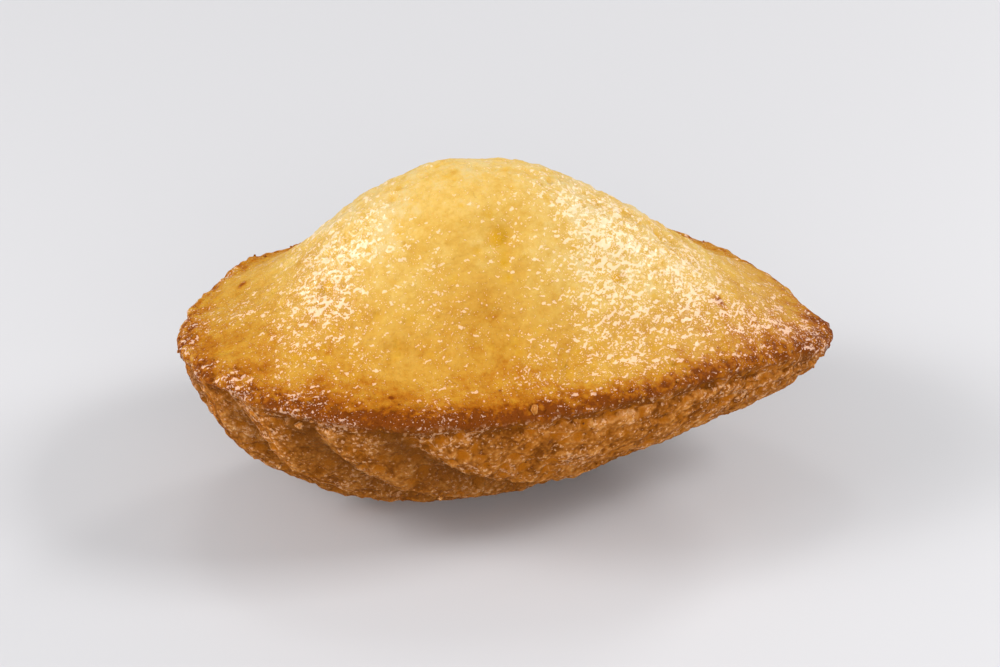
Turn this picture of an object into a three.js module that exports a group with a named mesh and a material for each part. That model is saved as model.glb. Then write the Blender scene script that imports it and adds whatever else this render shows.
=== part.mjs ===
// A madeleine: a small shell-shaped sponge cake, baked in a ribbed mould.
// It lies on its ribbed shell with the risen hump up, as it lies on a table.
// Millimetres, +Z up. +X runs to the pointed tip of the shell, and z = 0 is the table.
// The body is worked out in the mould's frame, where z = 0 is the plane of the rim,
// and is then settled on the table.
import * as THREE from "three";

// The rim, seen from above. FRONT is the half at -Y, BACK the half at +Y.
const LENGTH = 78;
const FRONT = { halfWidth: 23.5, tipFullness: 0.57, power: 1.17 };
const BACK = { halfWidth: 23.8, tipFullness: 1.06, power: 1.16 };
const END_POWER = 0.17; // the wide end is blunter than the tip by this much in the power
const TIP_BEND = 2.5; // how far each end bends towards -Y
const WIDE_END_BEND = 0.7;

// The rim's height: the sponge sags at the tip and lifts beside the wide end.
const TIP_SAG = 3.7;
const TIP_SAG_POWER = 5.1;
const WIDE_LIFT = 1.5;
const WIDE_LIFT_POWER = 2.4;
const WIDE_SAG = 2.0;
const WIDE_SAG_POWER = 10;

// The lip is the upright band under the rim, where the batter met the top of the mould.
const LIP_HEIGHT = 2.4;
const LIP_INSET = 0.7; // the shell starts this far inside the lip
const LIP_BULGE = 0.15;

// The shell below the lip, round a pole above the resting spot.
const POLE_X = -6.8;
const SHELL_DEPTH = 22; // from the rim's plane to the lowest rib
const SIDE_SHAPE = 1.06; // 1 is an ellipse, more is nearer to a V
const WIDE_SHAPE = 0.98;
const TIP_SHAPE = 1.37;

// Ribs fan out from the tip. Widths are angles in degrees, from the middle rib outwards.
const RIB_FAN_X = 39;
const RIB_TURN = -1.9; // the middle rib's own angle
const MIDDLE_RIB_HALF = 3.6;
const RIB_WIDTHS = [6.3, 6.0, 5.8, 5.8];
const GROOVE_DEPTH = 0.035; // a groove's depth per millimetre from the fan's centre
const GROOVE_ROUNDNESS = 0.2; // 0 is a sharp V between round ribs
const GROOVE_FADE = 0.35; // angle below the lip, in radians, at which a groove is at full depth
const SCALLOP = 0.35; // how much of a groove's depth still shows in the rim

// The top: a low crown inside the rim, and the hump that rose in the oven.
const CROWN = 2.2;
const HUMP = { height: 17.3, x: -4.6, y: -0.3, toWideEnd: 19.4, toTip: 27.4, across: 11.3 };
const HUMP_FULLNESS = 1.16;
const HUMP_ACROSS_POWER = 2.6; // above 2, the hump's section has a rounder top
const RIM_BLEND = 8; // the higher, the closer to the rim the hump runs

// Local rises and hollows of the top: place, height and radius.
const TOP_LUMPS = [
  { x: -18.4, y: 0, height: 1.0, radius: 5.5 },
  { x: -8.5, y: 0.6, height: 0.3, radius: 3.5 },
  { x: 3.2, y: 0.6, height: 0.4, radius: 4 },
  { x: 15.2, y: 0, height: 0.5, radius: 3 },
  { x: 18.4, y: -0.4, height: -0.4, radius: 2 },
  { x: -11.8, y: -14.2, height: -0.7, radius: 6 },
  { x: -1.2, y: -7.8, height: -0.8, radius: 1.6 },
  { x: 12.5, y: -8.4, height: -0.5, radius: 1.3 },
  { x: -21.2, y: -6.6, height: -0.5, radius: 1.4 },
];

// The unevenness that a baked surface has everywhere: sine waves in several directions.
const WAVES = 7;
const WAVE_LENGTH = 9;
const WAVE_LENGTH_STEP = 2.6;
const TOP_UNEVENNESS = 0.16;
const SHELL_UNEVENNESS = 0.09;
const GOLDEN_ANGLE = Math.PI * (3 - Math.sqrt(5));

// The pose on the table.
const PITCH = THREE.MathUtils.degToRad(0.1); // the tip is a little raised
const ROLL = THREE.MathUtils.degToRad(0.5);
const FLAT = 1.0; // the weight flattens the lowest ribs by this much

// The mesh: rings of vertices round the pole, with six more vertices in each ring.
const RINGS = 30;
const STEPS_PER_RING = 6;
const RIM_STEPS = RINGS * STEPS_PER_RING;

const CRUST = { color: 0xc98a35, roughness: 0.55, metalness: 0 };

const { abs, cos, sin, sign, exp, hypot, atan2, PI } = Math;

function smoothstep(from, to, value) {
  const t = Math.min(Math.max((value - from) / (to - from), 0), 1);
  return t * t * (3 - 2 * t);
}

// The width that a half outline has at the angle t, before it is scaled to its half width.
// t runs from 0 at the tip to PI at the wide end.
function rawHalfWidth(side, t) {
  const taper = side.tipFullness + (1 - side.tipFullness) * sin(t / 2) ** 2;
  return abs(sin(t)) ** (side.power + END_POWER * cos(t)) * taper;
}

function widest(side) {
  const steps = 180;
  let most = 0;
  for (let i = 1; i < steps; i++) {
    most = Math.max(most, rawHalfWidth(side, (PI * i) / steps));
  }
  return most;
}

const SCALE = new Map([FRONT, BACK].map((side) => [side, side.halfWidth / widest(side)]));

function rimHeight(c) {
  if (c > 0) return -TIP_SAG * c ** TIP_SAG_POWER;
  return WIDE_LIFT * abs(c) ** WIDE_LIFT_POWER - WIDE_SAG * abs(c) ** WIDE_SAG_POWER;
}

// How many ribs away from the middle rib a point lies: 0 on its crest, 0.5 in the first groove.
function ribPhase(degrees) {
  let edge = MIDDLE_RIB_HALF;
  if (degrees < edge) return (0.5 * degrees) / edge;
  for (const [i, width] of RIB_WIDTHS.entries()) {
    if (degrees < edge + width) return 0.5 + i + (degrees - edge) / width;
    edge += width;
  }
  return 0.5 + RIB_WIDTHS.length;
}

// Depth of the groove pattern at a place seen from above.
function grooveAt(x, y) {
  const fan = hypot(RIB_FAN_X - x, y);
  const degrees = THREE.MathUtils.radToDeg(atan2(y, RIB_FAN_X - x)) - RIB_TURN;
  const phase = ribPhase(abs(degrees));
  const profile = 1 - hypot(cos(PI * phase), GROOVE_ROUNDNESS) / hypot(1, GROOVE_ROUNDNESS);
  const lastGroove = RIB_WIDTHS.length + 0.5;
  return GROOVE_DEPTH * fan * profile * (1 - smoothstep(lastGroove - 0.2, lastGroove, phase));
}

// A point of the rim, with the scallops that the ribs leave at the wide end.
function rimPoint(t) {
  const c = cos(t);
  const side = sin(t) < 0 ? FRONT : BACK;
  const bend = (c < 0 ? WIDE_END_BEND : TIP_BEND) * c ** 4;
  let x = (LENGTH / 2) * c;
  let y = sign(sin(t)) * SCALE.get(side) * rawHalfWidth(side, t) - bend;
  const atWideEnd = Math.min(Math.max((-c - 0.25) / 0.6, 0), 1);
  const inward = 1 - (SCALLOP * grooveAt(x, y) * atWideEnd) / hypot(x - POLE_X, y);
  x = POLE_X + (x - POLE_X) * inward;
  y *= inward;
  return { x, y, z: rimHeight(c), c };
}

// Sum of sine waves, between about -1 and 1.
function waves(x, y, z) {
  let sum = 0;
  for (let i = 0; i < WAVES; i++) {
    const turn = GOLDEN_ANGLE * i;
    const rate = (2 * PI) / (WAVE_LENGTH + WAVE_LENGTH_STEP * i);
    sum += sin(rate * (x * cos(turn) + y * sin(turn) + 0.7 * z) + 1.7 * i);
  }
  return sum / Math.sqrt(WAVES);
}

function lumpsAt(x, y) {
  let sum = 0;
  for (const lump of TOP_LUMPS) {
    const far = hypot(x - lump.x, y - lump.y) / lump.radius;
    sum += lump.height * exp(-(far ** 2));
  }
  return sum;
}

// A point of the top, r from 0 at the pole to 1 at the rim.
function topPoint(rim, r) {
  const x = POLE_X + (rim.x - POLE_X) * r;
  const y = rim.y * r;
  const along = x - HUMP.x;
  const reach = along < 0 ? HUMP.toWideEnd : HUMP.toTip;
  const across = abs((y - HUMP.y) / HUMP.across) ** HUMP_ACROSS_POWER;
  const far = (along / reach) ** 2 + across;
  const insideRim = 1 - r ** RIM_BLEND;
  const raised = HUMP.height * exp(-(far ** HUMP_FULLNESS)) + lumpsAt(x, y);
  const uneven = TOP_UNEVENNESS * waves(x, y, 0);
  const z = rim.z * r ** 2 + CROWN * (1 - r ** 3) + (raised + uneven) * insideRim;
  return [x, y, z];
}

// A point of the shell, down from 0 at the lip to PI / 2 at the pole.
function shellPoint(rim, down) {
  const towards = rim.c > 0 ? TIP_SHAPE : WIDE_SHAPE;
  const shape = SIDE_SHAPE + (towards - SIDE_SHAPE) * rim.c ** 2;
  const inset = 1 - LIP_INSET / hypot(rim.x - POLE_X, rim.y);
  const out = Math.max(cos(down), 0) ** shape * inset;
  const deep = sin(down) ** shape;
  const smooth = new THREE.Vector3(
    POLE_X + (rim.x - POLE_X) * out,
    rim.y * out,
    (rim.z - LIP_HEIGHT) * (1 - deep) - SHELL_DEPTH * deep,
  );
  const outward = new THREE.Vector3(
    (smooth.x - POLE_X) / (LENGTH / 2) ** 2,
    smooth.y / FRONT.halfWidth ** 2,
    smooth.z / SHELL_DEPTH ** 2,
  ).normalize();
  const belowLip = smoothstep(0, GROOVE_FADE, down);
  const uneven = SHELL_UNEVENNESS * waves(smooth.x, smooth.y, smooth.z);
  const inward = (grooveAt(smooth.x, smooth.y) - uneven) * belowLip;
  return smooth.addScaledVector(outward, -inward).toArray();
}

// A point of the lip, share from 0 at the rim to 1 at its foot.
function lipPoint(rim, share) {
  const out = LIP_BULGE * sin(PI * share) - LIP_INSET * share ** 2;
  const scale = 1 + out / hypot(rim.x - POLE_X, rim.y);
  return [POLE_X + (rim.x - POLE_X) * scale, rim.y * scale, rim.z - LIP_HEIGHT * share];
}

// Vertices and faces of the closed body.
class Body {
  positions = [];
  faces = [];

  // A loop of vertices, and the index of its first one.
  addLoop(count, pointAt) {
    const first = this.positions.length / 3;
    for (let i = 0; i < count; i++) {
      this.positions.push(...pointAt(rimPoint((2 * PI * i) / count)));
    }
    return { first, count };
  }

  addFace(a, b, c, flipped) {
    this.faces.push(...(flipped ? [a, c, b] : [a, b, c]));
  }

  // The strip of triangles between a loop and the loop outside it, which may have more vertices.
  // Each face takes the next vertex from the loop that is behind.
  addStrip(inner, outer, flipped) {
    let i = 0;
    let j = 0;
    while (i < inner.count || j < outer.count) {
      const a = inner.first + (i % inner.count);
      const b = outer.first + (j % outer.count);
      const outerNext = (j + 0.5) / outer.count <= (i + 0.5) / inner.count;
      if (j < outer.count && (outerNext || i >= inner.count)) {
        this.addFace(a, b, outer.first + ((j + 1) % outer.count), flipped);
        j++;
      } else {
        this.addFace(a, b, inner.first + ((i + 1) % inner.count), flipped);
        i++;
      }
    }
  }

  // A disc of rings from the pole out to the given last loop.
  addDisc(pointAt, lastLoop, flipped) {
    let inner = this.addLoop(1, (rim) => pointAt(rim, 0));
    for (let ring = 1; ring <= RINGS; ring++) {
      const share = ring / RINGS;
      const outer =
        ring < RINGS
          ? this.addLoop(ring * STEPS_PER_RING, (rim) => pointAt(rim, share))
          : lastLoop;
      if (inner.count === 1) this.addFan(inner, outer, flipped);
      else this.addStrip(inner, outer, flipped);
      inner = outer;
    }
  }

  addFan(centre, outer, flipped) {
    for (let j = 0; j < outer.count; j++) {
      this.addFace(centre.first, outer.first + j, outer.first + ((j + 1) % outer.count), flipped);
    }
  }

  geometry() {
    const made = new THREE.BufferGeometry();
    made.setAttribute("position", new THREE.Float32BufferAttribute(this.positions, 3));
    made.setIndex(this.faces);
    return made;
  }
}

function cakeInMould() {
  const body = new Body();
  const rim = body.addLoop(RIM_STEPS, (p) => lipPoint(p, 0));
  const lipMiddle = body.addLoop(RIM_STEPS, (p) => lipPoint(p, 0.5));
  const lipFoot = body.addLoop(RIM_STEPS, (p) => lipPoint(p, 1));
  body.addStrip(rim, lipMiddle, false);
  body.addStrip(lipMiddle, lipFoot, false);
  body.addDisc(topPoint, rim, false);
  body.addDisc((p, share) => shellPoint(p, (1 - share) * (PI / 2)), lipFoot, true);
  return body.geometry();
}

// Turns the cake to its pose, sets it on the table and flattens what lies lowest.
// The origin ends up under the middle of its bounding box.
function settleOnTable(geometry) {
  geometry.rotateY(-PITCH).rotateX(ROLL);
  geometry.computeBoundingBox();
  geometry.translate(0, 0, -geometry.boundingBox.min.z - FLAT);
  const place = geometry.getAttribute("position");
  for (let i = 0; i < place.count; i++) {
    if (place.getZ(i) < 0) place.setZ(i, 0);
  }
  geometry.computeBoundingBox();
  const middle = geometry.boundingBox.getCenter(new THREE.Vector3());
  geometry.translate(-middle.x, -middle.y, 0);
  geometry.computeVertexNormals();
  return geometry;
}

const madeleine = new THREE.Mesh(
  settleOnTable(cakeInMould()),
  new THREE.MeshStandardMaterial(CRUST),
);
madeleine.name = "madeleine";

const cake = new THREE.Group();
cake.add(madeleine);

export default cake;
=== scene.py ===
"""A madeleine on a pale floor: its baked skin, browned rim, ribbed crumb side and buttery shine."""

import bmesh
import bpy
import numpy as np
from mathutils import Matrix, Vector, kdtree, noise


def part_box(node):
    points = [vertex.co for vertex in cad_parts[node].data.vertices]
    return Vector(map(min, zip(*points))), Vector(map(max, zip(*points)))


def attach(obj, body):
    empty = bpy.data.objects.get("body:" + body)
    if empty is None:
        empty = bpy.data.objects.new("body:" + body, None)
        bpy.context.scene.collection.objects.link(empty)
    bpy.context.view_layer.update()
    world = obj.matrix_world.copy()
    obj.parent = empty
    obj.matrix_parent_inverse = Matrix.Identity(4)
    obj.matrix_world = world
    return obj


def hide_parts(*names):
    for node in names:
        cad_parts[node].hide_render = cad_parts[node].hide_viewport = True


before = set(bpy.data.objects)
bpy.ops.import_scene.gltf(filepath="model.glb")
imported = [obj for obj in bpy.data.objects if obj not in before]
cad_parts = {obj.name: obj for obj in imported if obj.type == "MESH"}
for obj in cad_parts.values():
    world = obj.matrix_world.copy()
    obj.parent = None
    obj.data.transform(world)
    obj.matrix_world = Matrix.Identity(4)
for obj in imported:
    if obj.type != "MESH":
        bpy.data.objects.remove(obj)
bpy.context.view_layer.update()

MM = 0.001
SEED = 7

# ---------------------------------------------------------------- the smooth form, in millimetres
# The mould's frame: z = 0 is the rim's plane, +X runs to the tip, and -Y is the front.
LENGTH = 78.0
FRONT = {"half_width": 23.5, "tip_fullness": 0.57, "power": 1.17}
BACK = {"half_width": 23.8, "tip_fullness": 1.06, "power": 1.16}
END_POWER = 0.17  # how much sharper the tip is than power says, and how much blunter the wide end
TIP_BEND, WIDE_END_BEND, BEND_POWER = 2.5, 0.7, 4  # how far the ends bend to the front
TIP_SAG, TIP_SAG_POWER = 3.7, 5.1
WIDE_LIFT, WIDE_LIFT_POWER = 1.5, 2.4
WIDE_SAG, WIDE_SAG_POWER = 2.0, 10
LIP_HEIGHT, LIP_INSET, LIP_BULGE = 2.4, 0.7, 0.15
RIM_ROUNDING = 1.0
POLE_X = -6.8  # where the rings of vertices close, on the top and on the shell
SHELL_DEPTH = 22.0
SIDE_SHAPE, WIDE_SHAPE, TIP_SHAPE = 1.06, 0.98, 1.37  # 1 is an ellipse, and more is leaner
RIB_FAN_X, RIB_TURN = 39.0, -1.9  # where the ribs meet, and the middle rib's turn in degrees
MIDDLE_RIB_HALF = 3.6  # degrees
RIB_WIDTHS = [6.3, 6.0, 5.8, 5.8]  # degrees, from the middle rib outwards
LAST_RIB_FADE = 0.2  # in ribs
GROOVE_DEPTH = 0.035  # as a share of the distance from where the ribs meet
GROOVE_ROUNDNESS = 0.2
GROOVE_FADE = 0.35  # radians down the shell until a groove is full
SCALLOP = 0.35  # the share of a groove's depth that shows in the rim
SCALLOP_START, SCALLOP_FADE = 0.25, 0.6  # as shares of the wide half
CROWN, CROWN_POWER = 2.2, 3
HUMP_HEIGHT, HUMP_X, HUMP_Y = 17.3, -4.6, -0.3
HUMP_TO_WIDE_END, HUMP_TO_TIP, HUMP_ACROSS = 19.4, 27.4, 11.3
HUMP_FULLNESS, HUMP_ACROSS_POWER = 1.16, 2.6
RIM_BLEND = 8  # the higher, the nearer to the rim the top keeps its own height
TOP_LUMPS = [  # x, y, height, radius
    (-18.4, 0, 1.0, 5.5),
    (-8.5, 0.6, 0.3, 3.5),
    (3.2, 0.6, 0.4, 4),
    (15.2, 0, 0.5, 3),
    (18.4, -0.4, -0.4, 2),
    (-11.8, -14.2, -0.7, 6),
    (-1.2, -7.8, -0.8, 1.6),
    (12.5, -8.4, -0.5, 1.3),
    (-21.2, -6.6, -0.5, 1.4),
]
WAVES, WAVE_LENGTH, WAVE_LENGTH_STEP = 7, 9.0, 2.6
WAVE_RISE, WAVE_SHIFT = 0.7, 1.7  # how fast the waves go up the shell, and their offset in radians
TOP_UNEVENNESS, SHELL_UNEVENNESS = 0.16, 0.09
GOLDEN_ANGLE = np.pi * (3 - 5**0.5)
PITCH, ROLL = np.radians(0.1), np.radians(0.5)  # how the cake lies on the table

RINGS = 124
STEPS_PER_RING = 6
LIP_ROWS = 6


def smoothstep(low, high, value):
    """0 below low, 1 above high, smooth between."""
    t = np.clip((value - low) / (high - low), 0, 1)
    return t * t * (3 - 2 * t)


def around(value, middle, reach):
    """1 at the middle, and 1/e at the reach on both sides of it."""
    return np.exp(-(((value - middle) / reach) ** 2))


def raw_half_width(side, t):
    fullness = side["tip_fullness"]
    taper = fullness + (1 - fullness) * np.sin(t / 2) ** 2
    return np.abs(np.sin(t)) ** (side["power"] + END_POWER * np.cos(t)) * taper


def half_width(side, t):
    widest = raw_half_width(side, np.linspace(0, np.pi, 181)).max()
    return side["half_width"] * raw_half_width(side, t) / widest


def rim_height(c):
    tip = -TIP_SAG * np.abs(c) ** TIP_SAG_POWER
    wide = WIDE_LIFT * np.abs(c) ** WIDE_LIFT_POWER - WIDE_SAG * np.abs(c) ** WIDE_SAG_POWER
    return np.where(c > 0, tip, wide)


def rib_phase(x, y):
    """At a place seen from above: 0, 1, 2... on the ribs' crests and a half more in the grooves."""
    degrees = np.abs(np.degrees(np.arctan2(y, RIB_FAN_X - x)) - RIB_TURN)
    edges = np.cumsum([0, MIDDLE_RIB_HALF, *RIB_WIDTHS])
    return np.interp(degrees, edges, [0, *(np.arange(len(RIB_WIDTHS) + 1) + 0.5)])


def groove_profile(x, y):
    """0 on a rib's crest and almost 1 in a groove."""
    phase = rib_phase(x, y)
    profile = 1 - np.hypot(np.cos(np.pi * phase), GROOVE_ROUNDNESS) / np.hypot(1, GROOVE_ROUNDNESS)
    last = len(RIB_WIDTHS) + 0.5
    return profile * (1 - smoothstep(last - LAST_RIB_FADE, last, phase))


def groove_at(x, y):
    return GROOVE_DEPTH * np.hypot(RIB_FAN_X - x, y) * groove_profile(x, y)


def rim_curve(t):
    """x, y, z of the rim and the cosine of t, with the scallops at the wide end."""
    c = np.cos(t)
    x = LENGTH / 2 * c
    y = np.where(np.sin(t) < 0, -half_width(FRONT, t), half_width(BACK, t))
    y = y - np.where(c < 0, WIDE_END_BEND, TIP_BEND) * c**BEND_POWER
    at_wide_end = np.clip((-c - SCALLOP_START) / SCALLOP_FADE, 0, 1)
    inward = 1 - SCALLOP * groove_at(x, y) * at_wide_end / np.hypot(x - POLE_X, y)
    return POLE_X + (x - POLE_X) * inward, y * inward, rim_height(c), c


def waves(x, y, z):
    """A slight unevenness of about -1 to 1, from waves that run in all directions."""
    total = 0
    for i in range(WAVES):
        turn = GOLDEN_ANGLE * i
        rate = 2 * np.pi / (WAVE_LENGTH + WAVE_LENGTH_STEP * i)
        along = x * np.cos(turn) + y * np.sin(turn) + WAVE_RISE * z
        total = total + np.sin(rate * along + WAVE_SHIFT * i)
    return total / WAVES**0.5


def top_point(rim, r):
    """The top at the share r of the way from the pole to the rim."""
    rim_x, rim_y, rim_z, _ = rim
    x, y = POLE_X + (rim_x - POLE_X) * r, rim_y * r
    along = x - HUMP_X
    reach = np.where(along < 0, HUMP_TO_WIDE_END, HUMP_TO_TIP)
    across = np.abs((y - HUMP_Y) / HUMP_ACROSS) ** HUMP_ACROSS_POWER
    far = (along / reach) ** 2 + across
    raised = HUMP_HEIGHT * np.exp(-(far**HUMP_FULLNESS)) + TOP_UNEVENNESS * waves(x, y, 0)
    for lump_x, lump_y, height, radius in TOP_LUMPS:
        raised = raised + height * np.exp(-((x - lump_x) ** 2 + (y - lump_y) ** 2) / radius**2)
    z = rim_z * r**2 + CROWN * (1 - r**CROWN_POWER) + raised * (1 - r**RIM_BLEND)
    return np.stack([x, y, z], -1)


def shell_point(rim, down):
    """The shell at down radians, 0 at the lip's foot and a quarter turn at the pole."""
    rim_x, rim_y, rim_z, c = rim
    shape = SIDE_SHAPE + (np.where(c > 0, TIP_SHAPE, WIDE_SHAPE) - SIDE_SHAPE) * c**2
    inset = 1 - LIP_INSET / np.hypot(rim_x - POLE_X, rim_y)
    out = max(np.cos(down), 0) ** shape * inset
    deep = np.sin(down) ** shape
    x, y = POLE_X + (rim_x - POLE_X) * out, rim_y * out
    z = (rim_z - LIP_HEIGHT) * (1 - deep) - SHELL_DEPTH * deep
    size = (LENGTH / 2, FRONT["half_width"], SHELL_DEPTH)
    outward = np.stack([(x - POLE_X) / size[0] ** 2, y / size[1] ** 2, z / size[2] ** 2], -1)
    outward /= np.linalg.norm(outward, axis=-1, keepdims=True)
    uneven = SHELL_UNEVENNESS * waves(x, y, z)
    inward = (groove_at(x, y) - uneven) * smoothstep(0, GROOVE_FADE, down)
    return np.stack([x, y, z], -1) - outward * inward[..., None]


def lip_point(rim, share):
    """The lip at the share of the way from the rim to its foot."""
    rim_x, rim_y, rim_z, _ = rim
    out = LIP_BULGE * np.sin(np.pi * share) - LIP_INSET * share**2
    scale = 1 + out / np.hypot(rim_x - POLE_X, rim_y)
    z = rim_z - LIP_HEIGHT * share
    return np.stack([POLE_X + (rim_x - POLE_X) * scale, rim_y * scale, z], -1)


# ---------------------------------------------------------------- the mesh
class Body:
    """Vertices and faces of the closed cake, with three numbers for each vertex:
    inland, how far in millimetres it lies inside the rim, seen from above,
    below, 0 on the top, 0 to 1 down the lip and 1 to 2 down the shell, and
    depth, how far in millimetres it lies under the rim."""

    def __init__(self):
        self.points, self.inland, self.below, self.depth, self.faces = [], [], [], [], []
        self.count = 0

    def add_loop(self, count, point_at, share, below):
        t = 2 * np.pi * np.arange(count) / count
        rim = rim_curve(t)
        first = self.count
        self.points.append(point_at(rim, share))
        self.inland.append(np.hypot(rim[0] - POLE_X, rim[1]) * max(1 - share, 0))
        self.below.append(np.full(count, below, float))
        self.depth.append(rim[2] - self.points[-1][:, 2])
        self.count += count
        return first, count

    def add_face(self, a, b, c, flipped):
        self.faces.append((a, c, b) if flipped else (a, b, c))

    def add_strip(self, inner, outer, flipped):
        (first_in, n_in), (first_out, n_out) = inner, outer
        i = j = 0
        while i < n_in or j < n_out:
            a, b = first_in + i % n_in, first_out + j % n_out
            outer_next = (j + 0.5) * n_in <= (i + 0.5) * n_out
            if j < n_out and (outer_next or i >= n_in):
                self.add_face(a, b, first_out + (j + 1) % n_out, flipped)
                j += 1
            else:
                self.add_face(a, b, first_in + (i + 1) % n_in, flipped)
                i += 1

    def add_disc(self, point_at, below_at, last_loop, flipped):
        """Rings from the pole out to a loop that is there already."""
        inner = self.add_loop(1, point_at, 0, below_at(0))
        for ring in range(1, RINGS + 1):
            share = ring / RINGS
            outer = last_loop
            if ring < RINGS:
                outer = self.add_loop(ring * STEPS_PER_RING, point_at, share, below_at(share))
            if inner[1] == 1:
                for j in range(outer[1]):
                    ahead = outer[0] + (j + 1) % outer[1]
                    self.add_face(inner[0], outer[0] + j, ahead, flipped)
            else:
                self.add_strip(inner, outer, flipped)
            inner = outer


def cake_in_mould():
    body = Body()
    steps = RINGS * STEPS_PER_RING
    rows = []
    for row in range(LIP_ROWS + 1):
        down = row / LIP_ROWS
        rows.append(body.add_loop(steps, lambda rim, _, down=down: lip_point(rim, down), 1, down))
    for upper, lower in zip(rows, rows[1:]):
        body.add_strip(upper, lower, False)
    body.add_disc(top_point, lambda share: 0, rows[0], False)
    body.add_disc(
        lambda rim, share: shell_point(rim, (1 - share) * np.pi / 2),
        lambda share: 2 - share,
        rows[-1],
        True,
    )
    return body


def vertex_normals(p, f):
    corners = p[f]
    across = np.cross(corners[:, 1] - corners[:, 0], corners[:, 2] - corners[:, 0])
    normals = np.zeros_like(p)
    for k in range(3):
        np.add.at(normals, f[:, k], across)
    return normals / np.linalg.norm(normals, axis=1, keepdims=True)


def rounded_rim(p):
    """Replaces the sharp edge between the top and the lip by an arc."""
    r = RIM_ROUNDING
    on_lip = below > 0
    angle = np.pi / 4 * (1 + np.where(on_lip, depth, -inland) / r)
    near = (angle > 0) & (angle < np.pi / 2) & (below < 1)
    inward = r * (1 - np.sin(angle)) - np.where(on_lip, 0, inland)
    down = r * (1 - np.cos(angle)) - np.where(on_lip, depth, 0)
    to_pole = np.stack([POLE_X - p[:, 0], -p[:, 1]], -1)
    to_pole /= np.maximum(np.linalg.norm(to_pole, axis=1, keepdims=True), 1e-9)
    moved = p.copy()
    moved[:, :2] += to_pole * np.where(near, inward, 0)[:, None]
    moved[:, 2] -= np.where(near, down, 0)
    return moved


body = cake_in_mould()
smooth_points = np.concatenate(body.points)
inland = np.concatenate(body.inland)
below = np.concatenate(body.below)
depth = np.concatenate(body.depth)
faces = np.array(body.faces)
points = rounded_rim(smooth_points)
normals = vertex_normals(points, faces)
X, Y = points[:, 0], points[:, 1]
random = np.random.default_rng(SEED)

# ---------------------------------------------------------------- masks
CRUMB_SIDE = (0.35, 1.0)  # where on the lip the crumb side's relief sets in, as below counts
TOP_END = (0.0, 0.5)  # where on the lip the skin's relief ends
RIM_REACH, RIM_END = 2.4, (1.0, 1.08)
RIM_CALM = 0.5  # how much weaker the skin's lumps are at the rim, which has its own
RIGHT_FLANK, LEFT_FLANK = (14, 13), (-20, 7)  # x and reach of the hump's buttery flanks
LEFT_FLANK_SHARE = 0.7

on_top = below < 0.01
in_shell = below > 1
on_shell = smoothstep(*CRUMB_SIDE, below)
top_share = 1 - smoothstep(*TOP_END, below)
rim_near = around(inland, 0, RIM_REACH) * (1 - smoothstep(*RIM_END, below))
off_rim = 1 - rim_near
on_skin = top_share * (1 - RIM_CALM * rim_near)
flank = np.clip(around(X, *RIGHT_FLANK) + LEFT_FLANK_SHARE * around(X, *LEFT_FLANK), 0, 1)

# ---------------------------------------------------------------- the relief
# All in millimetres, along the normals of the smooth form.
LUMPS = [  # height, size, octaves, seed and mask
    (0.20, 5.0, 1, 1, on_skin),
    (0.16, 1.6, 2, 2, on_skin),
    (0.20, 2.6, 2, 8, flank * top_share * off_rim),
    (0.30, 2.6, 2, 3, rim_near),
    (0.24, 0.9, 1, 4, rim_near),
    (0.20, 3.2, 2, 5, on_shell),
    (0.22, 1.1, 2, 6, on_shell),
]
RIM_RISE = 0.1
NET_CELL, NET_SEED, NET_HEIGHT, NET_LINE = 1.9, 1, 0.16, 0.2
NET_CHANCE, NET_OFF_FLANKS = (0.3, 0.6), 0.25
PORE_CELL, PORE_SEED, PORE_DEPTH = 1.7, 2, 0.34
PORE_WALL, PORE_CHANCE, SHALLOWEST_PORE = (0.08, 0.4), (0.42, 0.55), 0.6
SWELLS = [  # x, y, side, height and radius of broad swells and hollows
    (-19.0, -10.5, in_shell, 0.6, 4.0),
    (3.6, -13.7, in_shell, -0.45, 3.0),
    (12.5, -11.5, in_shell, -0.4, 3.5),
    (-36.0, 7.4, on_top, -0.6, 3.0),
    (38.3, -0.5, on_top, 0.6, 2.0),
]
CREASES = [  # depth under the rim, width, and x where it starts and is full, towards the tip
    (2.75, 0.4, -8, 8),
    (5.2, 0.35, 4, 16),
]
CREASE_DEPTH, CREASES_BELOW = 0.35, 0.2
GROOVE_CUT, GROOVE_CUT_POWER = 0.5, 4  # how much deeper and sharper the grooves' bottoms are
SCATTERED_DENTS = [  # count, mask, radii and depths of the dents that fall by chance
    (320, on_top * (0.08 + flank), (0.5, 1.1), (0.08, 0.22)),
    (150, on_top * (0.15 + flank), (0.3, 0.5), (0.1, 0.25)),
    (200, rim_near, (0.4, 0.8), (0.15, 0.35)),
]
DENTS = [  # x, y, radius, depth, stretch and turn in degrees, of the larger pits on the top
    (-1.3, -7.6, 1.6, 0.7, 1.7, 70),
    (-0.8, -9.3, 0.8, 0.40, 1.2, 0),
    (12.5, -8.4, 1.1, 0.60, 1.4, 60),
    (-21.2, -6.6, 1.3, 0.55, 1.2, 20),
    (-0.4, -10.3, 0.6, 0.30, 1.0, 0),
    (18.1, -0.4, 1.3, 0.40, 1.0, 0),
]
SCATTERED_MARK, LARGE_MARK = 0.75, 1.6  # how strongly a dent is coloured
WRONG_SIDE = 1e6
FRACTAL_SEED_STEP, BUBBLE_SEED_STEP = Vector((17.3, 5.1, 9.7)), Vector((11.9, 3.3, 7.7))
OCTAVE_FALL, LACUNARITY = 1.0, 2.0


def fractal(size, octaves, seed):
    """Noise of about -1 to 1, with features of that size."""
    places = [Vector(place) + FRACTAL_SEED_STEP * seed for place in (points / size).tolist()]
    return np.array([noise.fractal(q, OCTAVE_FALL, LACUNARITY, octaves) for q in places])


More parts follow.
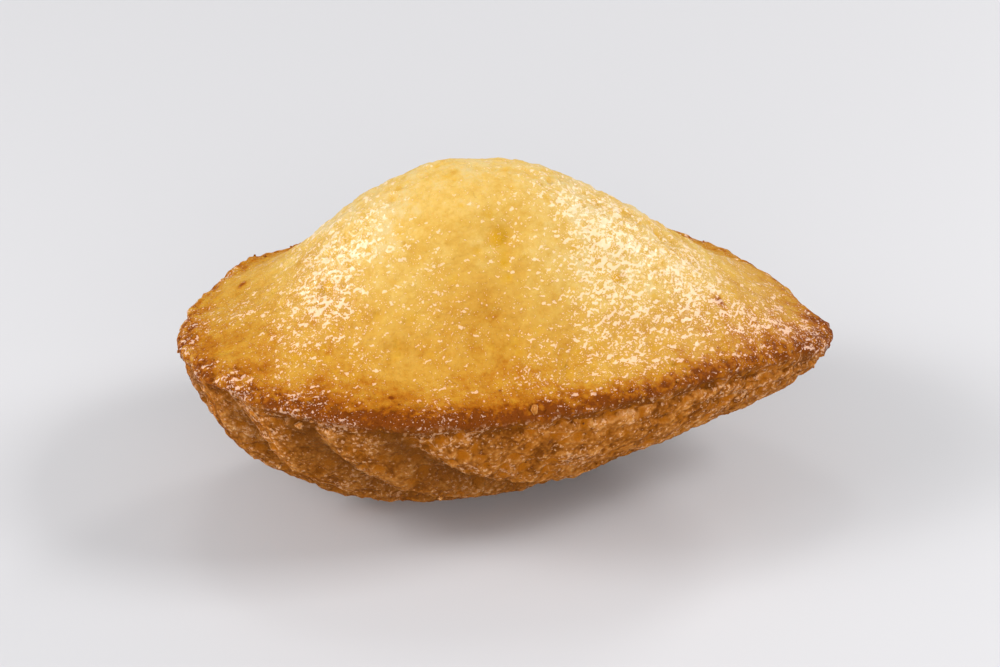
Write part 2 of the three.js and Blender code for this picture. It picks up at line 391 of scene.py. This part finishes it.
def bubbles(size, seed):
    """For cells of that size: how far a place is inside its cell, and the cell's chance, 0 to 1."""
    offset = BUBBLE_SEED_STEP * seed
    inside, chance = np.empty(len(points)), np.empty(len(points))
    for index, place in enumerate((points / size).tolist()):
        far, centres = noise.voronoi(Vector(place) + offset)
        inside[index] = far[1] - far[0]
        chance[index] = 0.5 + 0.5 * noise.cell(centres[0])
    return inside, chance


def nearest(x, y, side):
    """The vertex of the top or the shell that is over or under that place."""
    return ((X - x) ** 2 + (Y - y) ** 2 + WRONG_SIDE * ~side).argmin()


relief = RIM_RISE * rim_near
for height, size, octaves, seed, mask in LUMPS:
    relief += height * fractal(size, octaves, seed) * mask

cell, chance = bubbles(NET_CELL, NET_SEED)
net = around(cell, 0, NET_LINE) * smoothstep(*NET_CHANCE, chance) * top_share
relief += NET_HEIGHT * net * (NET_OFF_FLANKS + (1 - NET_OFF_FLANKS) * flank)

cell, chance = bubbles(PORE_CELL, PORE_SEED)
pore = smoothstep(*PORE_WALL, cell) * smoothstep(*PORE_CHANCE, chance) * on_shell
relief -= PORE_DEPTH * pore * (SHALLOWEST_PORE + (1 - SHALLOWEST_PORE) * chance)

fine_relief = relief.copy()

for x, y, side, height, radius in SWELLS:
    far = np.linalg.norm(points - points[nearest(x, y, side)], axis=1)
    relief += height * around(far, 0, radius)
for level, width, start_x, full_x in CREASES:
    crease = around(depth, level, width) * smoothstep(start_x, full_x, X)
    relief -= CREASE_DEPTH * crease * (below > CREASES_BELOW)
relief -= GROOVE_CUT * (groove_profile(X, Y) * on_shell) ** GROOVE_CUT_POWER

tree = kdtree.KDTree(len(points))
for index, place in enumerate(points.tolist()):
    tree.insert(place, index)
tree.balance()


def dent(centre, radius, deep, mark, stretch=1.0, turn=0.0):
    """Sinks a round or stretched hollow, and marks it in pore."""
    c, s = np.cos(turn), np.sin(turn)
    for place, index, _ in tree.find_range(centre, radius * max(stretch, 1)):
        off = place - Vector(centre)
        along = (off.x * c + off.y * s) / stretch
        side = -off.x * s + off.y * c
        far = (along**2 + side**2 + off.z**2) / radius**2
        if far < 1:
            hollow = (1 - far) ** 2
            relief[index] -= deep * hollow
            pore[index] = max(pore[index], hollow * mark)


for count, mask, radii, depths in SCATTERED_DENTS:
    for index in random.choice(len(points), count, p=mask / mask.sum()):
        radius, deep = random.uniform(*radii), random.uniform(*depths)
        dent(points[index], radius, deep, SCATTERED_MARK)
for x, y, radius, deep, stretch, turn in DENTS:
    centre = points[nearest(x, y, on_top)]
    dent(centre, radius, deep, LARGE_MARK, stretch, np.radians(turn))

# ---------------------------------------------------------------- how the cake lies
displaced = points + normals * relief[:, None]


def turned(p):
    """The cake's small tilt on the table."""
    turn = Matrix.Rotation(ROLL, 3, "X") @ Matrix.Rotation(-PITCH, 3, "Y")
    return p @ np.array(turn).T


def settle_shift(p):
    """What moves the turned smooth form so that its box is the CAD solid's."""
    low, high = (np.array(corner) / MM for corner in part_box("madeleine"))
    shift = (low + high) / 2 - (p.min(0) + p.max(0)) / 2
    shift[2] = high[2] - p[:, 2].max()
    return shift


shift = settle_shift(turned(smooth_points))
placed = turned(displaced) + shift
placed[:, 2] = np.maximum(placed[:, 2], 0)

# ---------------------------------------------------------------- browning, butter, painted glints and painted shade
# How brown the rim is and how wide its band, by x from the wide end to the tip.
RIM_BROWN = ([-39, -28, -17, -3, 11, 24, 36], [0.84, 0.94, 1.10, 1.04, 1.0, 0.93, 0.93])
BAND_WIDTH = ([-39, -28, -15, 0, 12, 25, 32, 39], [1.6, 1.4, 1.05, 0.95, 0.76, 0.85, 1.3, 2.0])
BACK_BAND_WIDTH = ([-39, -20], [1.275, 0.75])
BACK_START, BACK_PALER = (-4, 4), 0.10
BAND = (  # how brown a place is, by how many band widths it lies inside the rim
    [0, 0.8, 1.7, 2.5, 3.5, 4.5, 5.5, 7, 9, 11.5, 14.5, 18, 28],
    [1, 0.93, 0.83, 0.75, 0.67, 0.61, 0.56, 0.5, 0.45, 0.34, 0.17, 0.09, 0.05],
)
BAND_WANDER, BAND_WANDER_SIZE, BAND_WANDER_SEED = 0.14, 6.0, 11
LIP_BROWN_END = (1.6, 3.4)  # depth under the rim
SPOTS = [  # x, y, radius and brownness of the burnt specks and of two broad patches on the top
    (24.6, -6.2, 0.7, 0.55),
    (-31.1, 4.0, 0.6, 0.45),
    (-6.1, -1.2, 0.5, 0.35),
    (-12.5, -1.1, 0.5, 0.35),
    (-14.5, -19.5, 0.2, 0.8),
    # A broad darker patch on the front of the hump: painted shade.
    (-3.5, -9.0, 7.0, 0.20),
    (25.0, 1.0, 9.0, 0.13),
]
# Painted shade on the crumb side: darker grooves, and a broader darkening over the ribs at the wide
# end.
GROOVE_SHADE, SHADE_AT = 0.68, -0.12  # in ribs from the groove's bottom
SHADE_INNER, SHADE_OUTER = 0.24, 0.15
WIDE_SHADE, WIDE_SHADE_START, WIDE_SHADE_END = 0.22, (1.8, 2.2), (3.3, 4.0)  # as rib_phase counts
SHADE_END = (3.8, 4.4)
# Wetness also sets where the painted glints go, most on the flanks that face the lamps.
RIM_WET = (  # by x from the wide end to the tip
    [-39, -34, -24, -18, -8, 5, 15, 25, 33, 39],
    [0.25, 0.36, 0.30, 0.14, 0.04, 0.04, 0.12, 0.26, 0.34, 0.42],
)
TOP_WET, SHELL_WET = 0.27, 0.25
WET_RIGHT = smoothstep(-5, 13, X) * (1 - 0.2 * smoothstep(19, 28, X)) * around(Y, -7.5, 13.5)
WET_PATCHES = [  # how much more or less wetness, and so how many painted glints, the top has, and where
    (0.44, WET_RIGHT * off_rim),
    (0.37, around(X, -21, 7) * around(Y, -6, 9)),  # the left flank
    (0.08, smoothstep(12, 22, -X) * off_rim),  # the wide end
    (0.12, smoothstep(18, 26, X) * around(inland, 6, 3)),  # the tip
    (-0.25, around(X, -6, 9) * around(Y, -3, 5)),  # the dry front of the hump
]
SHEEN = [  # strength, x, reach along, y and reach across
    (0.45, 16, 9, -6, 7),
    (0.5, -20, 5, -4, 6),
]
CRUMB_START = (0.15, 0.75)  # where on the lip the skin's colours turn into the crumb side's
CRUMB_WANDER, CRUMB_WANDER_SIZE, CRUMB_WANDER_SEED = 0.25, 1.6, 12
# The fine relief's height, which the material also uses for painted shade in its hollows.
FULLY_RAISED = 0.3


def browning():
    """How brown each place is baked: about 0 on the hump and 1 on the rim."""
    width = np.where(Y > 0, np.interp(X, *BACK_BAND_WIDTH), np.interp(X, *BAND_WIDTH))
    wander = 1 + BAND_WANDER * fractal(BAND_WANDER_SIZE, 2, BAND_WANDER_SEED)
    far = np.maximum(inland, 0) / width * wander
    brown = np.interp(X, *RIM_BROWN) * np.interp(far, *BAND)
    brown *= 1 - BACK_PALER * smoothstep(*BACK_START, Y)
    for x, y, radius, strength in SPOTS:
        brown += strength * around(X, x, radius) * around(Y, y, radius) * on_top
    return brown * (1 - smoothstep(*LIP_BROWN_END, depth) * (below > 0))


def groove_shade():
    """Painted shade in the grooves, most on the wall that turns to the rim, and over the ribs at
    the wide end.
    """
    phase = rib_phase(X, Y)
    off = phase % 1 - 0.5
    band = around(off, SHADE_AT, np.where(off < SHADE_AT, SHADE_INNER, SHADE_OUTER))
    wide_end = smoothstep(*WIDE_SHADE_START, phase) * (1 - smoothstep(*WIDE_SHADE_END, phase))
    shade = GROOVE_SHADE * band + WIDE_SHADE * wide_end
    return shade * on_shell * (1 - smoothstep(*SHADE_END, phase))


def wetness_and_glints():
    """How much butter each place has: it is glossier there, and more glints are painted there."""
    top = TOP_WET + rim_near * np.interp(X, *RIM_WET)
    for amount, mask in WET_PATCHES:
        top = top + amount * mask
    return np.clip(top, 0, 1) * (1 - on_shell) + SHELL_WET * on_shell


def sheen():
    """Where the butter lies as an even film."""
    film = 0
    for strength, x, along, y, across in SHEEN:
        film = film + strength * around(X, x, along) * around(Y, y, across)
    return np.clip(film, 0, 1) * on_top


def crumb_share():
    """0 on the skin and 1 on the crumb side, with a wandering edge down the lip."""
    wander = CRUMB_WANDER * fractal(CRUMB_WANDER_SIZE, 1, CRUMB_WANDER_SEED) * (below > 0.1)
    return smoothstep(*CRUMB_START, below + wander)


def new_mesh(name, p, f, look):
    """An object from places in millimetres, with a number per vertex for each name in look."""
    mesh = bpy.data.meshes.new(name)
    mesh.from_pydata((p * MM).tolist(), [], f.tolist())
    mesh.polygons.foreach_set("use_smooth", np.ones(len(f), bool))
    mesh.update()
    for attribute_name, values in look.items():
        attribute = mesh.attributes.new(attribute_name, "FLOAT", "POINT")
        attribute.data.foreach_set("value", np.asarray(values, np.float32))
    piece = bpy.data.objects.new(name, mesh)
    bpy.context.scene.collection.objects.link(piece)
    return piece


# ---------------------------------------------------------------- the material
SKIN_COLOURS = [  # from the pale hump to the darkest rim
    (0.00, (0.635, 0.458, 0.185)),
    (0.15, (0.635, 0.405, 0.102)),
    (0.30, (0.58, 0.338, 0.060)),
    (0.45, (0.545, 0.293, 0.045)),
    (0.60, (0.48, 0.230, 0.024)),
    (0.75, (0.40, 0.145, 0.009)),
    (0.90, (0.28, 0.073, 0.002)),
    (1.00, (0.17, 0.038, 0.002)),
]
CRUMB_COLOURS = [
    (0.00, (0.16, 0.043, 0.002)),
    (0.30, (0.31, 0.099, 0.010)),
    (0.55, (0.48, 0.188, 0.036)),
    (0.78, (0.59, 0.285, 0.090)),
    (1.00, (0.74, 0.470, 0.240)),
]
# Colours of the painted glints, on the pale skin and on the browned rim.
PAINTED_GLINT_COLOUR, PAINTED_BROWN_GLINT_COLOUR = (0.96, 0.74, 0.51, 1), (0.98, 0.65, 0.49, 1)
# Colour of the painted glints on the crumb side.
PAINTED_CRUMB_GLINT_COLOUR = (0.88, 0.53, 0.31, 1)
DENT_COLOUR = (0.61, 0.325, 0.012, 1)
PORE_COLOUR = (0.36, 0.105, 0.002, 1)
# Colour of the painted shade in the grooves.
GROOVE_SHADE_COLOUR = (0.13, 0.039, 0.004, 1)

# The layers that the sums below name, first the mesh's attributes. Sizes are in millimetres.
ATTRIBUTES = ("browning", "crumb", "pore", "wet_and_glints", "shade", "edge", "shine", "raised")
NOISES = {  # size, octaves, roughness and seed
    "clusters": (6.0, 1, 0.5, 11),
    "patches": (5.0, 2, 0.5, 15),
    "coarse": (2.6, 2, 0.55, 1),
    "middle": (1.0, 2, 0.6, 2),
    "fine": (0.4, 2, 0.6, 3),
    "finest": (0.2, 1, 0.5, 4),
}
SLOPES = {  # size, way in sizes, octaves, roughness and seed
    "wide_side": (1.2, (-0.1, 0.15, 0.3), 2, 0.6, 13),
    "small_side": (0.5, (-0.1, 0.15, 0.35), 1, 0.5, 14),
}
NETS = {"wide_net": (1.8, 0.26, 5), "small_net": (0.8, 0.26, 7)}  # size, line width and seed
CELLS = {"crumb_glint_cells": (0.7, 21), "grain_cells": (0.5, 9)}  # size and seed
NET_WOBBLE, NET_WOBBLE_SIZE = 1.1, 0.6  # as shares of the net's size
CELL_SMOOTHNESS = 0.3
NODE_SEED_STEP = (3.7, 8.3, 5.9)

# Weighted sums of layers, plus "base". Below, an edge is where such a sum sets in and is full.
# The next two sums say where pale glints are painted on the skin, as crescents and as specks.
PAINTED_GLINT_CRESCENTS = {
    "wide_side": 1.5, "small_side": 1.0, "fine": 0.5, "wide_net": 0.12, "small_net": 0.08,
    "wet_and_glints": 0.55, "browning": -0.2, "clusters": 0.45, "pore": -0.25, "base": -0.98,
}
PAINTED_GLINT_SPECKS = {
    "finest": 1.0, "fine": 0.5, "wet_and_glints": 0.24, "edge": -0.03, "clusters": 0.25, "base": -1.15,
}
# Where small glints are painted on the crumb side.
PAINTED_CRUMB_GLINTS = {
    "crumb_glint_cells": -0.35, "fine": 0.8, "finest": 0.4, "clusters": 0.4, "raised": 0.05,
    "base": -0.71,
}
# raised gives painted shade: the skin is a little darker in the relief's hollows and paler on its
# bumps.
MOTTLE = {
    "patches": 0.5, "coarse": 0.5, "middle": 0.5, "fine": 0.4, "raised": -0.14, "base": -0.95,
}
MOTTLE_STRENGTH = {"browning": -0.2, "wet_and_glints": 0.3, "base": 0.65}
PEBBLES = {"middle": 0.5, "base": -0.25}
SKIN_TONE = {"browning": 1.0, "mottling": 1.0, "pebbles": 1.0, "wet_and_glints": 0.12, "base": -0.01}
AMBER_STRENGTH = {"browning": -0.85, "base": 0.85}
# How strongly the painted glints are mixed into the skin's colour.
PAINTED_GLINT_STRENGTH = {"wet_and_glints": 0.3, "browning": -0.1, "base": 0.46}
# raised gives painted shade: the crumb is darker in the relief's hollows and lighter on its bumps.
CRUMB_TONE = {
    "middle": 0.6, "coarse": 0.55, "fine": 0.4, "grains": -0.5, "raised": 0.3, "browning": -0.4,
    "pore_rim": 0.5, "base": -0.235,
}
# The painted crumb glints are fainter in the grooves' painted shade.
PAINTED_CRUMB_GLINT_STRENGTH = {"shade": -0.4, "base": 0.44}
GLINT_CRESCENT_EDGE, GLINT_SPECK_EDGE, CRUMB_GLINT_EDGE = (-0.03, 0.06), (-0.01, 0.05), (-0.03, 0.10)
HOLE_EDGE, HOLE_STRENGTH = (0.3, 0.5), 0.85
RIM_GRAIN = {"grains": -0.2, "fine": 0.15, "middle": 0.2}
SKIN_HEIGHT = {
    "fine": 0.07, "wide_net": 0.05, "small_net": 0.02, "middle": 0.16, "painted_glint_spots": 0.02,
    "rim_grain": 1.0,
}
CRUMB_HEIGHT = {"grains": -0.2, "fine": 0.08, "middle": 0.4}
ROUGHNESS = {"painted_glint_spots": -0.42, "wet_and_glints": -0.15, "crumb": 0.1, "base": 0.6}
COAT = {"shine": 1.0, "painted_glint_spots": 0.15}
SHADER_VALUES = {
    "Coat Roughness": 0.1,
    "Coat IOR": 1.6,
    "Specular IOR Level": 0.04,
    "Subsurface Weight": 0.12,
    "Subsurface Radius": (1.0, 0.45, 0.12),
    "Subsurface Scale": 1.6 * MM,
}


class Nodes:
    """A material's node tree, with short ways to add the nodes that this scene uses.
    layer holds sockets by the names that the sums use."""

    def __init__(self, name):
        self.material = bpy.data.materials.new(name)
        self.material.use_nodes = True
        self.tree = self.material.node_tree
        self.shader = self.tree.nodes["Principled BSDF"]
        self.place = self.add("ShaderNodeTexCoord").outputs["Object"]
        self.layer = {}

    def add(self, kind, **settings):
        node = self.tree.nodes.new(kind)
        for name, value in settings.items():
            setattr(node, name, value)
        return node

    def put(self, socket, value):
        if isinstance(value, bpy.types.NodeSocket):
            self.tree.links.new(value, socket)
        else:
            socket.default_value = value

    def math(self, operation, *values, clamp=False):
        node = self.add("ShaderNodeMath", operation=operation, use_clamp=clamp)
        for socket, value in zip(node.inputs, values):
            self.put(socket, value)
        return node.outputs[0]

    def product(self, first, second, clamp=False):
        return self.math("MULTIPLY", first, second, clamp=clamp)

    def inverse(self, value):
        return self.math("SUBTRACT", 1.0, value)

    def sum_of(self, weights):
        """The layers that weights names, each times its weight, plus the base."""
        result = 0.0
        for name, weight in weights.items():
            value = 1.0 if name == "base" else self.layer[name]
            result = self.math("MULTIPLY_ADD", value, weight, result)
        return result

    def shape(self, value, low, high):
        """0 below low, 1 above high, smooth between."""
        node = self.add("ShaderNodeMapRange", interpolation_type="SMOOTHSTEP")
        self.put(node.inputs["Value"], value)
        self.put(node.inputs["From Min"], low)
        self.put(node.inputs["From Max"], high)
        return node.outputs[0]

    def scaled_place(self, size, seed, ahead=(0, 0, 0)):
        node = self.add("ShaderNodeVectorMath", operation="MULTIPLY_ADD")
        self.put(node.inputs[0], self.place)
        node.inputs[1].default_value = [1 / (size * MM)] * 3
        node.inputs[2].default_value = [a * seed + b for a, b in zip(NODE_SEED_STEP, ahead)]
        return node.outputs[0]

    def noise(self, size, octaves, roughness, seed, ahead=(0, 0, 0)):
        node = self.add("ShaderNodeTexNoise")
        self.put(node.inputs["Vector"], self.scaled_place(size, seed, ahead))
        node.inputs["Scale"].default_value = 1.0
        node.inputs["Detail"].default_value = octaves
        node.inputs["Roughness"].default_value = roughness
        return node.outputs["Fac"]

    def slope(self, size, ahead, octaves, roughness, seed):
        """How much a noise rises that way: high on one side of each of its bumps."""
        there = self.noise(size, octaves, roughness, seed, ahead)
        return self.math("SUBTRACT", there, self.noise(size, octaves, roughness, seed))

    def net(self, size, width, seed):
        """A crooked net of lines between cells of that size: 1 on a line, 0 inside a cell."""
        wobble = self.add("ShaderNodeTexNoise")
        self.put(wobble.inputs["Vector"], self.scaled_place(size * NET_WOBBLE_SIZE, seed + 1))
        wobble.inputs["Scale"].default_value = 1.0
        bend = self.add("ShaderNodeVectorMath", operation="MULTIPLY_ADD")
        self.put(bend.inputs[0], wobble.outputs["Color"])
        bend.inputs[1].default_value = [NET_WOBBLE] * 3
        self.put(bend.inputs[2], self.scaled_place(size, seed))
        node = self.add("ShaderNodeTexVoronoi", feature="DISTANCE_TO_EDGE")
        self.put(node.inputs["Vector"], bend.outputs[0])
        node.inputs["Scale"].default_value = 1.0
        return self.inverse(self.shape(node.outputs["Distance"], 0.0, width))

    def cells(self, size, seed):
        """0 in the middle of each cell of that size, and about 0.7 between the cells."""
        node = self.add("ShaderNodeTexVoronoi", feature="SMOOTH_F1")
        self.put(node.inputs["Vector"], self.scaled_place(size, seed))
        node.inputs["Scale"].default_value = 1.0
        node.inputs["Smoothness"].default_value = CELL_SMOOTHNESS
        return node.outputs["Distance"]

    def attribute(self, name):
        return self.add("ShaderNodeAttribute", attribute_name=name).outputs["Fac"]

    def ramp(self, value, stops):
        node = self.add("ShaderNodeValToRGB")
        elements = node.color_ramp.elements
        while len(elements) < len(stops):
            elements.new(0.5)
        for element, (position, colour) in zip(elements, stops):
            element.position = position
            element.color = (*colour, 1)
        self.put(node.inputs["Fac"], value)
        return node.outputs["Color"]

    def mix_colours(self, share, first, second):
        node = self.add("ShaderNodeMix", data_type="RGBA")
        self.put(node.inputs[0], share)
        self.put(node.inputs[6], first)
        self.put(node.inputs[7], second)
        return node.outputs[2]

    def mix_values(self, share, first, second):
        node = self.add("ShaderNodeMix")
        self.put(node.inputs[0], share)
        self.put(node.inputs[2], first)
        self.put(node.inputs[3], second)
        return node.outputs[0]

    def bump(self, height):
        """height is in millimetres."""
        node = self.add("ShaderNodeBump")
        node.inputs["Strength"].default_value = 1.0
        node.inputs["Distance"].default_value = MM
        self.put(node.inputs["Height"], height)
        return node.outputs["Normal"]


def add_layers(n):
    layer = n.layer
    for name in ATTRIBUTES:
        layer[name] = n.attribute(name)
    for table, make in ((NOISES, n.noise), (SLOPES, n.slope), (NETS, n.net), (CELLS, n.cells)):
        for name, settings in table.items():
            layer[name] = make(*settings)

    # Painted glints standing in for the butter's highlights: pale crescents painted on one side of
    # each small bump and along the nets, and painted specks.
    crescents = n.shape(n.sum_of(PAINTED_GLINT_CRESCENTS), *GLINT_CRESCENT_EDGE)
    specks = n.shape(n.sum_of(PAINTED_GLINT_SPECKS), *GLINT_SPECK_EDGE)
    layer["painted_glint_spots"] = n.math("MAXIMUM", crescents, specks)

    layer["mottling"] = n.product(n.sum_of(MOTTLE), n.sum_of(MOTTLE_STRENGTH))
    layer["pebbles"] = n.product(layer["edge"], n.sum_of(PEBBLES))
    layer["holes"] = n.product(layer["pore"], n.shape(layer["coarse"], *HOLE_EDGE))
    layer["solid"] = n.inverse(layer["holes"])
    layer["grains"] = n.product(layer["grain_cells"], layer["solid"])
    layer["pore_rim"] = n.product(layer["pore"], n.inverse(layer["pore"]))
    layer["rim_grain"] = n.product(layer["edge"], n.sum_of(RIM_GRAIN))


def skin_colour(n):
    colour = n.ramp(n.sum_of(SKIN_TONE), SKIN_COLOURS)
    amber = n.product(n.layer["pore"], n.sum_of(AMBER_STRENGTH), clamp=True)
    colour = n.mix_colours(amber, colour, DENT_COLOUR)
    # Painted highlight: pale glints mixed into the skin's colour.
    pale = n.product(n.layer["painted_glint_spots"], n.sum_of(PAINTED_GLINT_STRENGTH), clamp=True)
    return n.mix_colours(pale, colour, n.mix_colours(n.layer["browning"], PAINTED_GLINT_COLOUR, PAINTED_BROWN_GLINT_COLOUR))


def crumb_colour(n):
    colour = n.ramp(n.sum_of(CRUMB_TONE), CRUMB_COLOURS)
    colour = n.mix_colours(n.product(n.layer["holes"], HOLE_STRENGTH), colour, PORE_COLOUR)
    # Painted shade: the grooves and the wide end's ribs darkened.
    colour = n.mix_colours(n.layer["shade"], colour, GROOVE_SHADE_COLOUR)
    # Painted highlight: small pale glints on the crumb side, fainter in the grooves' painted shade.
    crumb_glints = n.product(n.shape(n.sum_of(PAINTED_CRUMB_GLINTS), *CRUMB_GLINT_EDGE), n.layer["solid"])
    return n.mix_colours(n.product(crumb_glints, n.sum_of(PAINTED_CRUMB_GLINT_STRENGTH)), colour, PAINTED_CRUMB_GLINT_COLOUR)


def crust_material():
    """The skin, the browned rim, the crumb side and the butter, in one material."""
    n = Nodes("crust")
    add_layers(n)
    inputs, crumb = n.shader.inputs, n.layer["crumb"]
    n.put(inputs["Base Color"], n.mix_colours(crumb, skin_colour(n), crumb_colour(n)))
    surface = n.bump(n.mix_values(crumb, n.sum_of(SKIN_HEIGHT), n.sum_of(CRUMB_HEIGHT)))
    n.put(inputs["Normal"], surface)
    n.put(inputs["Coat Normal"], surface)
    n.put(inputs["Roughness"], n.sum_of(ROUGHNESS))
    n.put(inputs["Coat Weight"], n.sum_of(COAT))
    for name, value in SHADER_VALUES.items():
        inputs[name].default_value = value
    return n.material


# ---------------------------------------------------------------- the cake
crust = crust_material()
cake_look = {
    "browning": browning(),
    "crumb": crumb_share(),
    "pore": pore,
    "wet_and_glints": wetness_and_glints(),
    "shade": groove_shade(),
    "edge": rim_near,
    "shine": sheen(),
    "raised": np.clip(fine_relief / FULLY_RAISED, -1, 1),
}
cake = new_mesh("cake", placed, faces, cake_look)
cake.data.materials.append(crust)
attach(cake, "root")
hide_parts("madeleine")

# ---------------------------------------------------------------- loose crumbs
CRUMBS = [  # x, y, side, half width, half height and browning of the crumbs that stand out
    (-25.0, -19.2, in_shell, 0.45, 0.45, 0.0),
    (1.5, -22.0, on_top, 0.36, 0.85, 0.0),
    (-9.0, -18.0, in_shell, 0.35, 0.35, 0.0),
    (-27.6, -11.3, in_shell, 0.30, 0.30, 0.1),
]
SMALL_CRUMBS, SHELL_SHARE = 90, 0.35
SMALL_RADII, SMALL_STRETCH, SMALL_BROWNING = (0.1, 0.22), (0.8, 1.2), (0.2, 0.7)
CRUMB_UNEVENNESS, CRUMB_UNEVENNESS_LIMIT = 0.2, 1.5
CRUMB_STANDS_OUT = 0.3  # by that share of its smallest radius
CRUMB_LOOK = {"crumb": 1, "pore": 0, "wet_and_glints": 0.4, "shade": 0, "edge": 0, "shine": 0.1, "raised": 0.6}


def ball():
    """The corners and faces of a small round body."""
    mesh = bmesh.new()
    bmesh.ops.create_icosphere(mesh, subdivisions=2, radius=1)
    corners = np.array([vertex.co for vertex in mesh.verts])
    triangles = np.array([[vertex.index for vertex in face.verts] for face in mesh.faces])
    mesh.free()
    return corners, triangles


def add_crumbs():
    """The crumbs that stand out and small ones by chance, all in one piece."""
    corners, triangles = ball()
    places, browns = [], []
    for x, y, side, wide, high, brown in CRUMBS:
        places.append((nearest(x, y, side), (wide, wide, high)))
        browns.append(brown)
    weight = rim_near + SHELL_SHARE * (on_shell > 0.9)
    for index in random.choice(len(points), SMALL_CRUMBS, p=weight / weight.sum()):
        size = random.uniform(*SMALL_RADII) * random.uniform(*SMALL_STRETCH, 3)
        places.append((index, size))
        browns.append(random.uniform(*SMALL_BROWNING))
    bodies = []
    for index, size in places:
        uneven = random.standard_normal((len(corners), 1))
        uneven = uneven.clip(-CRUMB_UNEVENNESS_LIMIT, CRUMB_UNEVENNESS_LIMIT)
        sunk = placed[index] + normals[index] * CRUMB_STANDS_OUT * min(size)
        bodies.append(sunk + corners * (1 + CRUMB_UNEVENNESS * uneven) * size)
    shapes = [triangles + len(corners) * k for k in range(len(bodies))]
    count = len(corners)
    look = {name: np.full(count * len(bodies), value) for name, value in CRUMB_LOOK.items()}
    look["browning"] = np.repeat(browns, count)
    crumbs = new_mesh("crumbs", np.concatenate(bodies), np.concatenate(shapes), look)
    crumbs.data.materials.append(crust)
    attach(crumbs, "root")


add_crumbs()

# ---------------------------------------------------------------- floor, lights and camera
FLOOR_SIZE, FLOOR_ROUGHNESS = 6.0, 0.5
FLOOR_COLOUR = (0.55, 0.545, 0.56, 1)
SOFTBOXES = [  # name, place and size in metres, and power in watts
    ("left", (-0.61, -0.04, 0.36), (0.42, 0.50), 2.4),
    ("left_core", (-0.62, 0.0, 0.40), (0.20, 0.20), 2.0),
    ("right", (0.56, -0.02, 0.50), (0.26, 0.26), 3.3),
    ("back_right", (0.43, 0.53, 0.34), (0.14, 0.14), 1.3),
    ("back_top", (-0.05, 0.40, 0.64), (0.15, 0.15), 0.4),
    ("front", (0.0, -0.60, 0.20), (0.8, 0.4), 3.0),
]
SOFTBOXES_AIM = (0, 0, 0.015)
WORLD_COLOUR, WORLD_STRENGTH = (0.98, 0.99, 1.0, 1), 0.37

# The camera looks at the cake from the front, a little from the left and from above.
CAMERA_ELEVATION, CAMERA_YAW = np.radians(30.515), np.radians(4.508)
CAMERA_DISTANCE = 331.1  # from the origin of the mould's frame
LENS, SENSOR = 100.0, 36.0
CLIP_NEAR, CLIP_FAR = 0.02, 20  # metres
ORIGIN_PIXEL = (505.7, 311.2)  # where the picture shows the origin of the mould's frame
PICTURE = (1000, 667)


def add_floor():
    bpy.ops.mesh.primitive_plane_add(size=FLOOR_SIZE)
    floor = bpy.context.object
    floor.name = "floor"
    surface = bpy.data.materials.new("floor")
    surface.use_nodes = True
    shader = surface.node_tree.nodes["Principled BSDF"]
    shader.inputs["Base Color"].default_value = FLOOR_COLOUR
    shader.inputs["Roughness"].default_value = FLOOR_ROUGHNESS
    floor.data.materials.append(surface)


def add_softbox(name, place, size, power):
    lamp = bpy.data.lights.new(name, "AREA")
    lamp.shape, lamp.size, lamp.size_y = "RECTANGLE", size[0], size[1]
    lamp.energy = power
    lamp_object = bpy.data.objects.new(name, lamp)
    lamp_object.location = place
    aim = Vector(SOFTBOXES_AIM) - Vector(place)
    lamp_object.rotation_euler = aim.to_track_quat("-Z", "Y").to_euler()
    bpy.context.scene.collection.objects.link(lamp_object)


def add_world():
    world = bpy.data.worlds.new("studio")
    world.use_nodes = True
    background = world.node_tree.nodes["Background"]
    background.inputs["Color"].default_value = WORLD_COLOUR
    background.inputs["Strength"].default_value = WORLD_STRENGTH
    bpy.context.scene.world = world


def add_camera():
    e, yaw = CAMERA_ELEVATION, CAMERA_YAW
    forward = Vector((np.sin(yaw) * np.cos(e), np.cos(yaw) * np.cos(e), -np.sin(e)))
    right = Vector((np.cos(yaw), -np.sin(yaw), 0))
    up = right.cross(forward)
    origin = Vector(shift) * MM
    lens = bpy.data.cameras.new("camera")
    lens.lens, lens.sensor_width = LENS, SENSOR
    lens.clip_start, lens.clip_end = CLIP_NEAR, CLIP_FAR
    camera = bpy.data.objects.new("camera", lens)
    camera.location = origin - forward * CAMERA_DISTANCE * MM
    focal = LENS / SENSOR * PICTURE[0]
    off_x, off_y = ORIGIN_PIXEL[0] - PICTURE[0] / 2, ORIGIN_PIXEL[1] - PICTURE[1] / 2
    aim = (forward * focal - right * off_x + up * off_y).normalized()
    side = aim.cross(up).normalized()
    top = side.cross(aim)
    camera.rotation_euler = Matrix((side, top, -aim)).transposed().to_euler()
    bpy.context.scene.collection.objects.link(camera)
    bpy.context.scene.camera = camera


add_floor()
for softbox in SOFTBOXES:
    add_softbox(*softbox)
add_world()
add_camera()
bpy.context.scene.view_settings.view_transform = "Standard"
